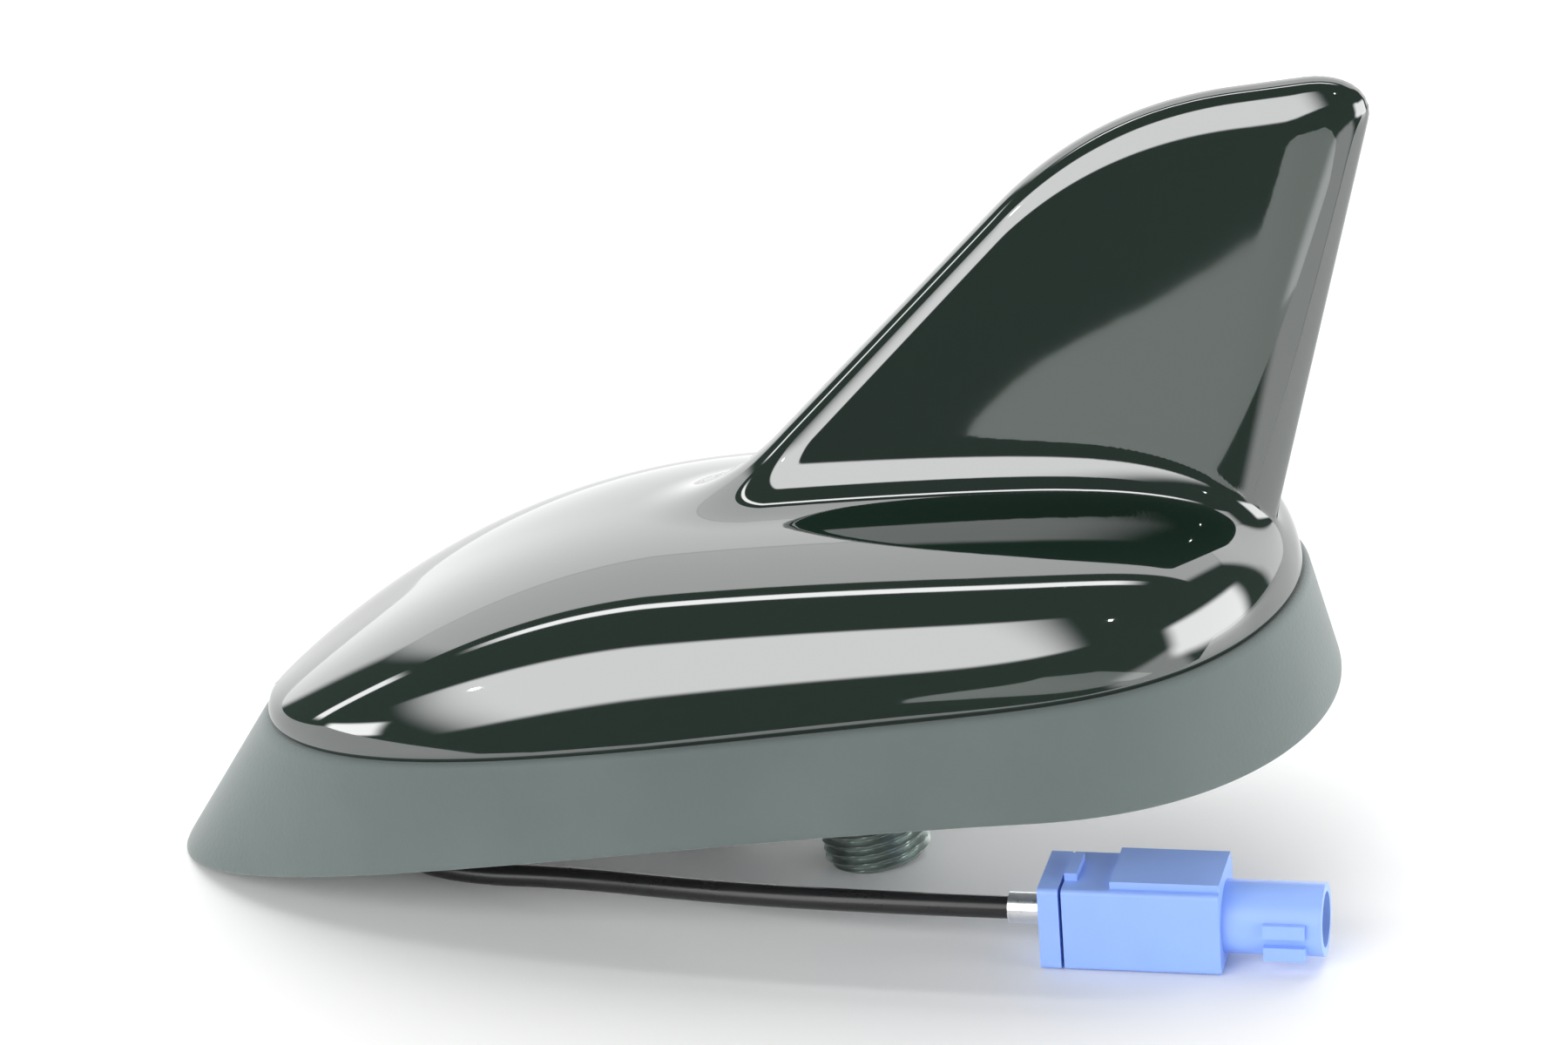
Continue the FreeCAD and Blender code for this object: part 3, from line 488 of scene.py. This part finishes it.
def cover_field(x, y, z, inset):
    """Below 0 inside the cover. The dome is a rounded section scaled by the width and the crest.

    The fin is a slab with a round front edge, a taller round along its top and a long elliptical
    trailing edge, and the smooth greater of the two insides is the fillet between them. With
    an inset it is the hollow under the dome, which has no fin."""
    up = np.clip(z - RIM, 0.0, None) / crest_height(x, inset)
    section = (np.abs(y) / cover_width(x, inset)) ** SECTION["across"] + up ** SECTION["up"]
    dome = (section ** (1 / SECTION["root"]) - 1) * SECTION["depth"]
    beyond = (x < inset - COVER_PLAN["nose"]) | (x > COVER_PLAN["tail"] - inset)
    dome = np.where(beyond, np.maximum(dome, SECTION["beyond"]), dome)
    if inset:
        return dome
    lead_angle, trail_angle = np.radians([FIN["lead_angle"], FIN["trail_angle"]])
    lead = (FIN["lead"] - x) * np.sin(lead_angle) + z * np.cos(lead_angle)
    trail = (x - FIN["trail"]) * np.cos(trail_angle) - z * np.sin(trail_angle)
    above = z - FIN["height"]
    front = smooth_max(lead, above, FIN_ROUND["front"])
    rise = np.clip((z - RIM) / (FIN["height"] - RIM), 0.0, 1.0)
    half = FIN_ROUND["root"] + (FIN_ROUND["tip"] - FIN_ROUND["root"]) * rise
    topmost = np.clip((above - lead) / (2 * FIN_ROUND["front"]) + 0.5, 0.0, 1.0)
    front = np.clip(front / (half + (FIN_ROUND["top"] - half) * topmost) + 1, 0.0, None)
    back = np.clip(trail / FIN_ROUND["back"] + 1, 0.0, None)
    fin = (np.sqrt(front ** 2 + back ** 2 + (y / half) ** 2) - 1) * half
    return -smooth_max(-dome, -fin, FIN_ROUND["fillet"])


def last_inside(field, far):
    """How far each ray stays inside, by halving the stretch that holds the wall."""
    low = np.zeros_like(far)
    high = far.copy()
    for _ in range(44):
        middle = (low + high) / 2
        inside = field(middle) < 0
        low = np.where(inside, middle, low)
        high = np.where(inside, high, middle)
    return low


def cover_outline(count, inset):
    """The outline in the middle plane, nose to tail, by rays from a place inside it.

    The points are spaced by a cubic that starts and ends at the two paces, closer at the ends."""
    x0 = HUB["along"]
    z0 = RIM + HUB["over_rim"]
    lip = RIM + CREST["lip"]
    nose = inset - COVER_PLAN["nose"]
    tail = COVER_PLAN["tail"] - inset
    angle = np.linspace(np.pi - np.arctan2(lip - z0, x0 - nose), np.arctan2(lip - z0, tail - x0), 6001)

    def field(reach):
        height = np.maximum(z0 + reach * np.sin(angle), RIM)
        return cover_field(x0 + reach * np.cos(angle), 0.0, height, inset)

    reach = last_inside(field, np.full_like(angle, HUB["reach"]))
    line = np.stack([x0 + reach * np.cos(angle), z0 + reach * np.sin(angle)], axis=1)
    line[0] = (nose, lip)
    line[-1] = (tail, lip)
    steps = np.linalg.norm(np.diff(line, axis=0), axis=1)
    along = np.concatenate([[0.0], np.cumsum(steps)]) / np.sum(steps)
    s = np.linspace(0.0, 1.0, count)
    pace = PACE["nose"] * s * (1 - s) ** 2 + (3 - 2 * s) * s ** 2 - PACE["tail"] * s ** 2 * (1 - s)
    return np.stack([np.interp(pace, along, column) for column in line.T], axis=1)


def cover_skin(columns, rows, inset):
    """Rings round the cover, from its rim up to the line where its two sides meet.

    Seen from the side a column is straight and evenly spaced. Its distance from the middle plane
    comes from the field. The rings of the other side are the same, mirrored."""
    foot = half_plan(COVER_PLAN, -inset, columns)[:, 0]
    top = cover_outline(columns, inset)
    rise = 1 - (1 - np.linspace(0.0, 1.0, 500)) ** 2
    x = foot[:, None] + (top[:, :1] - foot[:, None]) * rise
    z = RIM + (top[:, 1:] - RIM) * rise
    y = last_inside(lambda reach: cover_field(x, reach, z, inset), np.full_like(x, WIDEST_RAY))
    y[:, -1] = 0.0
    skin = np.stack([even_steps(line, rows) for line in np.stack([x, y, z], axis=-1)])
    skin[0, :, 1] = 0.0
    skin[-1, :, 1] = 0.0
    return np.concatenate([skin, skin[-2:0:-1] * [1, -1, 1]]).transpose(1, 0, 2)


def grooved(skin):
    """The skin drawn in near its rim by a parabola, which leaves the groove over the seal."""
    low = np.clip(1 - (skin[..., 2] - RIM) / GROOVE["height"], 0.0, 1.0) ** 2
    away = skin[..., :2] - [COVER_PLAN["widest"], 0.0]
    away = away / np.linalg.norm(away, axis=-1, keepdims=True)
    shift = away * (GROOVE["depth"] * low)[..., None]
    return np.concatenate([skin[..., :2] - shift, skin[..., 2:]], axis=-1)


gloss, shader, place = new_finish("cover_gloss", IOR=2.35)
depth = place.speckle(0.03, 3.0)
peel = place.speckle(0.007, 1.0)
dust = place.speckle(0.0011, 4.0).between(0.70, 0.80)
feed(shader, "Base Color", depth.mix((0.006, 0.018, 0.012, 1), (0.009, 0.023, 0.016, 1)))
feed(shader, "Roughness", 0.03 + 0.02 * depth + 0.06 * dust)
roughen(shader, peel, 0.000004)
outer_skin = grooved(cover_skin(250, 110, 0.0))
inner_skin = cover_skin(250, 24, COVER_WALL)
cover = closed_piece("fin_shell", [np.concatenate([inner_skin[::-1], outer_skin])], gloss, 60.0)
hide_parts("fin_cover")


# The lead is a thin coaxial cable with a glossy black jacket, free from the stud to its plug.
# Its real length is the one the picture shows, with the middle of its loop under the antenna.

LEAD_RADIUS = 1.45
LEAD_ROUTE = np.array([
    [0, 0, 0], [0, 0, -6.5], [-5, 0.6, -12.2], [-13, 2.8, -13.6], [-25, 7.8, -13.7],
    [-38, 12.4, -12.3], [-51, 13.6, -10.7], [-60.5, 9.6, -9.3], [-64.6, 0, -8.8],
    [-60.5, -9.6, -9.3], [-51, -13.4, -10.6], [-37, -14.7, -11.9], [-16, -20.9, -13.1],
    [6.01, -25, -14.703], [22.84, -25, -17.128],
])
curve = bpy.data.curves.new("coax_lead", "CURVE")
curve.dimensions = "3D"
curve.bevel_depth = LEAD_RADIUS * 0.001
curve.bevel_resolution = 7
curve.use_fill_caps = True
spline = curve.splines.new("NURBS")
spline.points.add(len(LEAD_ROUTE) - 1)
spline.points.foreach_set("co", np.column_stack([LEAD_ROUTE * 0.001, np.ones(len(LEAD_ROUTE))]).ravel())
spline.order_u = 3
spline.use_endpoint_u = True
spline.resolution_u = 16
jacket, shader, place = new_finish("jacket", Specular_IOR_Level=0.5)
rub = place.speckle(0.006, 3.0)
feed(shader, "Base Color", rub.mix((0.008, 0.008, 0.009, 1), (0.018, 0.018, 0.019, 1)))
feed(shader, "Roughness", 0.2 + 0.18 * rub)
roughen(shader, place.speckle(0.0012), 0.000015)
curve.materials.append(jacket)
lead = bpy.data.objects.new("coax_lead", curve)
bpy.context.scene.collection.objects.link(lead)
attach(lead, "root")
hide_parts("coax_cable")


# The crimp ferrule is a bright nickel-plated tube squeezed over the cable's braid.
# It holds the lead in the plug.

nickel, shader, place = new_finish("nickel", Metallic=1.0)
drawn = place.speckle(0.0012, 3.0)
feed(shader, "Base Color", drawn.mix((0.72, 0.73, 0.74, 1), (0.88, 0.89, 0.90, 1)))
feed(shader, "Roughness", 0.2 + 0.2 * drawn)
dress(nickel, "crimp_ferrule")


# The plug is a coded radio connector: a pale blue moulded housing, with a collar of the same
# plastic that locks the metal inside it. The pin, its insulator and the sleeve are in its nose.

pale_blue, shader, place = new_finish("pale_blue", Specular_IOR_Level=0.45)
flow = place.speckle(0.006, 3.0)
feed(shader, "Base Color", flow.mix((0.29, 0.46, 0.98, 1), (0.32, 0.50, 1.0, 1)))
feed(shader, "Roughness", 0.32 + 0.12 * flow)
roughen(shader, place.speckle(0.0003), 0.00001)
dress(pale_blue, "plug_housing", "plug_lock")

gold, shader, place = new_finish("gold_flash", Metallic=1.0)
wipe = place.speckle(0.001, 2.0)
feed(shader, "Base Color", wipe.mix((0.78, 0.56, 0.22, 1), (0.90, 0.70, 0.34, 1)))
feed(shader, "Roughness", 0.2 + 0.15 * wipe)
dress(gold, "plug_sleeve", "plug_pin")

white_core, shader, place = new_finish("white_core", Specular_IOR_Level=0.4)
waxy = place.speckle(0.0015, 2.0)
feed(shader, "Base Color", waxy.mix((0.72, 0.71, 0.68, 1), (0.82, 0.81, 0.79, 1)))
feed(shader, "Roughness", 0.4 + 0.15 * waxy)
dress(white_core, "plug_insulator")


# The studio is a white table top, tilted as the antenna leans on its nose and its stud.
# Soft panels behind, above and before it make the long pale reflections on the gloss, and a grey
# card on the floor makes the patch on the fin. The room beyond them is dim.

TABLE_HEIGHT = -19.5
TABLE_SLOPE = -0.144
TABLE_GAP = 0.05
TABLE_EDGE = np.array([[-600, 600], [600, 600], [600, -76], [-600, -76]])
SHEET_CURVE = np.array([[-16, -150], [-22, -172], [-16, -205], [0, -240], [16, -290], [36, -400]])
SHEET_CORNERS = np.array([[160, -400], [160, -150]])


def flowing(points, count=40):
    """A smooth line through the points: even steps along them, averaged three times."""
    line = even_steps(points.astype(float), count)
    for _ in range(3):
        line[1:-1] = (line[:-2] + line[1:-1] * 2 + line[2:]) / 4
    return line


def flat_stage(name, edge, material):
    """A flat sheet with that outline, on the tilted plane of the table."""
    mesh = bpy.data.meshes.new(name)
    height = TABLE_HEIGHT + TABLE_SLOPE * edge[:, 0] - TABLE_GAP
    spots = np.column_stack([edge, height]) * 0.001
    mesh.from_pydata(spots.tolist(), [], [tuple(range(len(spots)))[::-1]])
    mesh.materials.append(material)
    sheet = bpy.data.objects.new(name, mesh)
    bpy.context.scene.collection.objects.link(sheet)


white_top, shader, place = new_finish("white_top", Specular_IOR_Level=0.2)
paper = place.speckle(0.05, 3.0)
feed(shader, "Base Color", paper.mix((0.93, 0.93, 0.93, 1), (0.95, 0.95, 0.95, 1)))
feed(shader, "Roughness", 0.55 + 0.1 * paper)
flat_stage("table", TABLE_EDGE, white_top)

grey_card, shader, place = new_finish("grey_card", Specular_IOR_Level=0.2, Roughness=0.6)
feed(shader, "Base Color", place.speckle(0.05, 3.0).mix((0.62, 0.66, 0.64, 1), (0.66, 0.70, 0.68, 1)))
flat_stage("front_sheet", np.concatenate([flowing(SHEET_CURVE), SHEET_CORNERS])[::-1], grey_card)


def softbox(name, spot, aim, size, radiance, soft=(0.2, 0.2), wide=(1.0, 0.0, 0.0)):
    """A panel lamp at a spot, facing the aim, whose power is its radiance times pi times its area.

    Its width lies as near to the wide direction as its facing allows, and its light rises smoothly
    from each edge over the soft share of its width and height."""
    lamp = bpy.data.lights.new(name, "AREA")
    lamp.shape = "RECTANGLE"
    lamp.size, lamp.size_y = size
    lamp.energy = radiance * np.pi * size[0] * size[1]
    lamp.use_nodes = True
    tree = lamp.node_tree
    spread = Shade(tree, tree.nodes.new("ShaderNodeNewGeometry").outputs["Parametric"])
    across = spread.axis("X")
    along = spread.axis("Y")
    glow = across.between(0.0, soft[0]) * (1 - across).between(0.0, soft[0])
    glow = glow * along.between(0.0, soft[1]) * (1 - along).between(0.0, soft[1])
    tree.links.new(glow.out, tree.nodes["Emission"].inputs["Strength"])
    panel = bpy.data.objects.new(name, lamp)
    bpy.context.scene.collection.objects.link(panel)
    back = np.array(spot) - np.array(aim)
    back = back / np.linalg.norm(back)
    right = np.array(wide) - np.dot(wide, back) * back
    right = right / np.linalg.norm(right)
    matrix = np.eye(4)
    matrix[:3] = np.column_stack([right, np.cross(back, right), back, spot])
    panel.matrix_world = Matrix(matrix.tolist())
    panel.visible_camera = False


sideways = (0.0, 1.0, 0.0)
softbox("back_panel", (0.0, 0.66, 0.22), (0.0, 0.0, 0.10), (2.0, 0.9), 2.15, (0.1, 0.03))
softbox("upper_panel", (0.0, 0.369, 0.771), (0.0, 0.0, 0.0), (2.0, 0.51), 1.8, (0.1, 0.03))
softbox("shoulder_strip", (-0.15, 0.0, 0.84), (-0.15, 0.0, 0.0), (1.3, 0.075), 5.0)
softbox("front_panel", (-0.32, -0.76, 0.42), (0.0, 0.0, 0.02), (1.40, 0.78), 3.6, (0.30, 0.08),
        wide=(1.0, 0.0, 0.28))
softbox("nose_panel", (-0.85, 0.05, 0.40), (0.0, 0.0, 0.03), (0.10, 0.5), 4.5, wide=sideways)
softbox("tail_panel", (0.44, -0.06, 0.02), (0.06, 0.0, 0.03), (0.5, 0.26), 4.5, wide=sideways)
softbox("left_panel", (-0.60, -0.20, 0.04), (-0.08, 0.0, 0.0), (0.3, 0.16), 5.0, wide=sideways)
softbox("edge_card", (0.15, -0.125, -0.045), (0.07, 0.0, 0.06), (0.15, 0.09), 1.1)
softbox("left_bulb", (-0.78, -0.72, 0.56), (0.0, 0.0, 0.03), (0.035, 0.035), 60.0)
softbox("right_bulb", (0.50, -0.74, 0.79), (0.0, 0.0, 0.03), (0.035, 0.035), 60.0)

world = bpy.data.worlds.new("studio")
bpy.context.scene.world = world
world.use_nodes = True
sky = world.node_tree.nodes["Background"]
sky.inputs["Color"].default_value = (1, 1, 1, 1)
sky.inputs["Strength"].default_value = 0.10


# The camera stands where the picture was taken from: a long lens, a little turned on its axis.
# Its place was fitted to the outline in the picture, in the antenna's own frame.

VIEW = {"azimuth": 17.55, "elevation": 20.3, "roll": -12.84, "distance": 710.18}
VIEW_TARGET = np.array([-2.71, 0.0, 27.86])
FOCAL_PIXELS = 6399.57
PICTURE_WIDTH = 1800.0
SENSOR = 36.0

azimuth, elevation, roll = np.radians([VIEW["azimuth"], VIEW["elevation"], VIEW["roll"]])
back = np.array([
    np.sin(azimuth) * np.cos(elevation), -np.cos(azimuth) * np.cos(elevation), np.sin(elevation)])
level = np.cross([0.0, 0.0, 1.0], back)
level = level / np.linalg.norm(level)
upright = np.cross(back, level)
right = np.cos(roll) * level + np.sin(roll) * upright
up = np.cos(roll) * upright - np.sin(roll) * level
stand = (VIEW_TARGET + VIEW["distance"] * back) * 0.001
lens = bpy.data.cameras.new("camera")
lens.sensor_width = SENSOR
lens.lens = FOCAL_PIXELS * SENSOR / PICTURE_WIDTH
lens.clip_start = 0.01
lens.clip_end = 20.0
camera = bpy.data.objects.new("camera", lens)
bpy.context.scene.collection.objects.link(camera)
pose = np.eye(4)
pose[:3] = np.column_stack([right, up, back, stand])
camera.matrix_world = Matrix(pose.tolist())
bpy.context.scene.camera = camera
bpy.context.scene.view_settings.view_transform = "Standard"
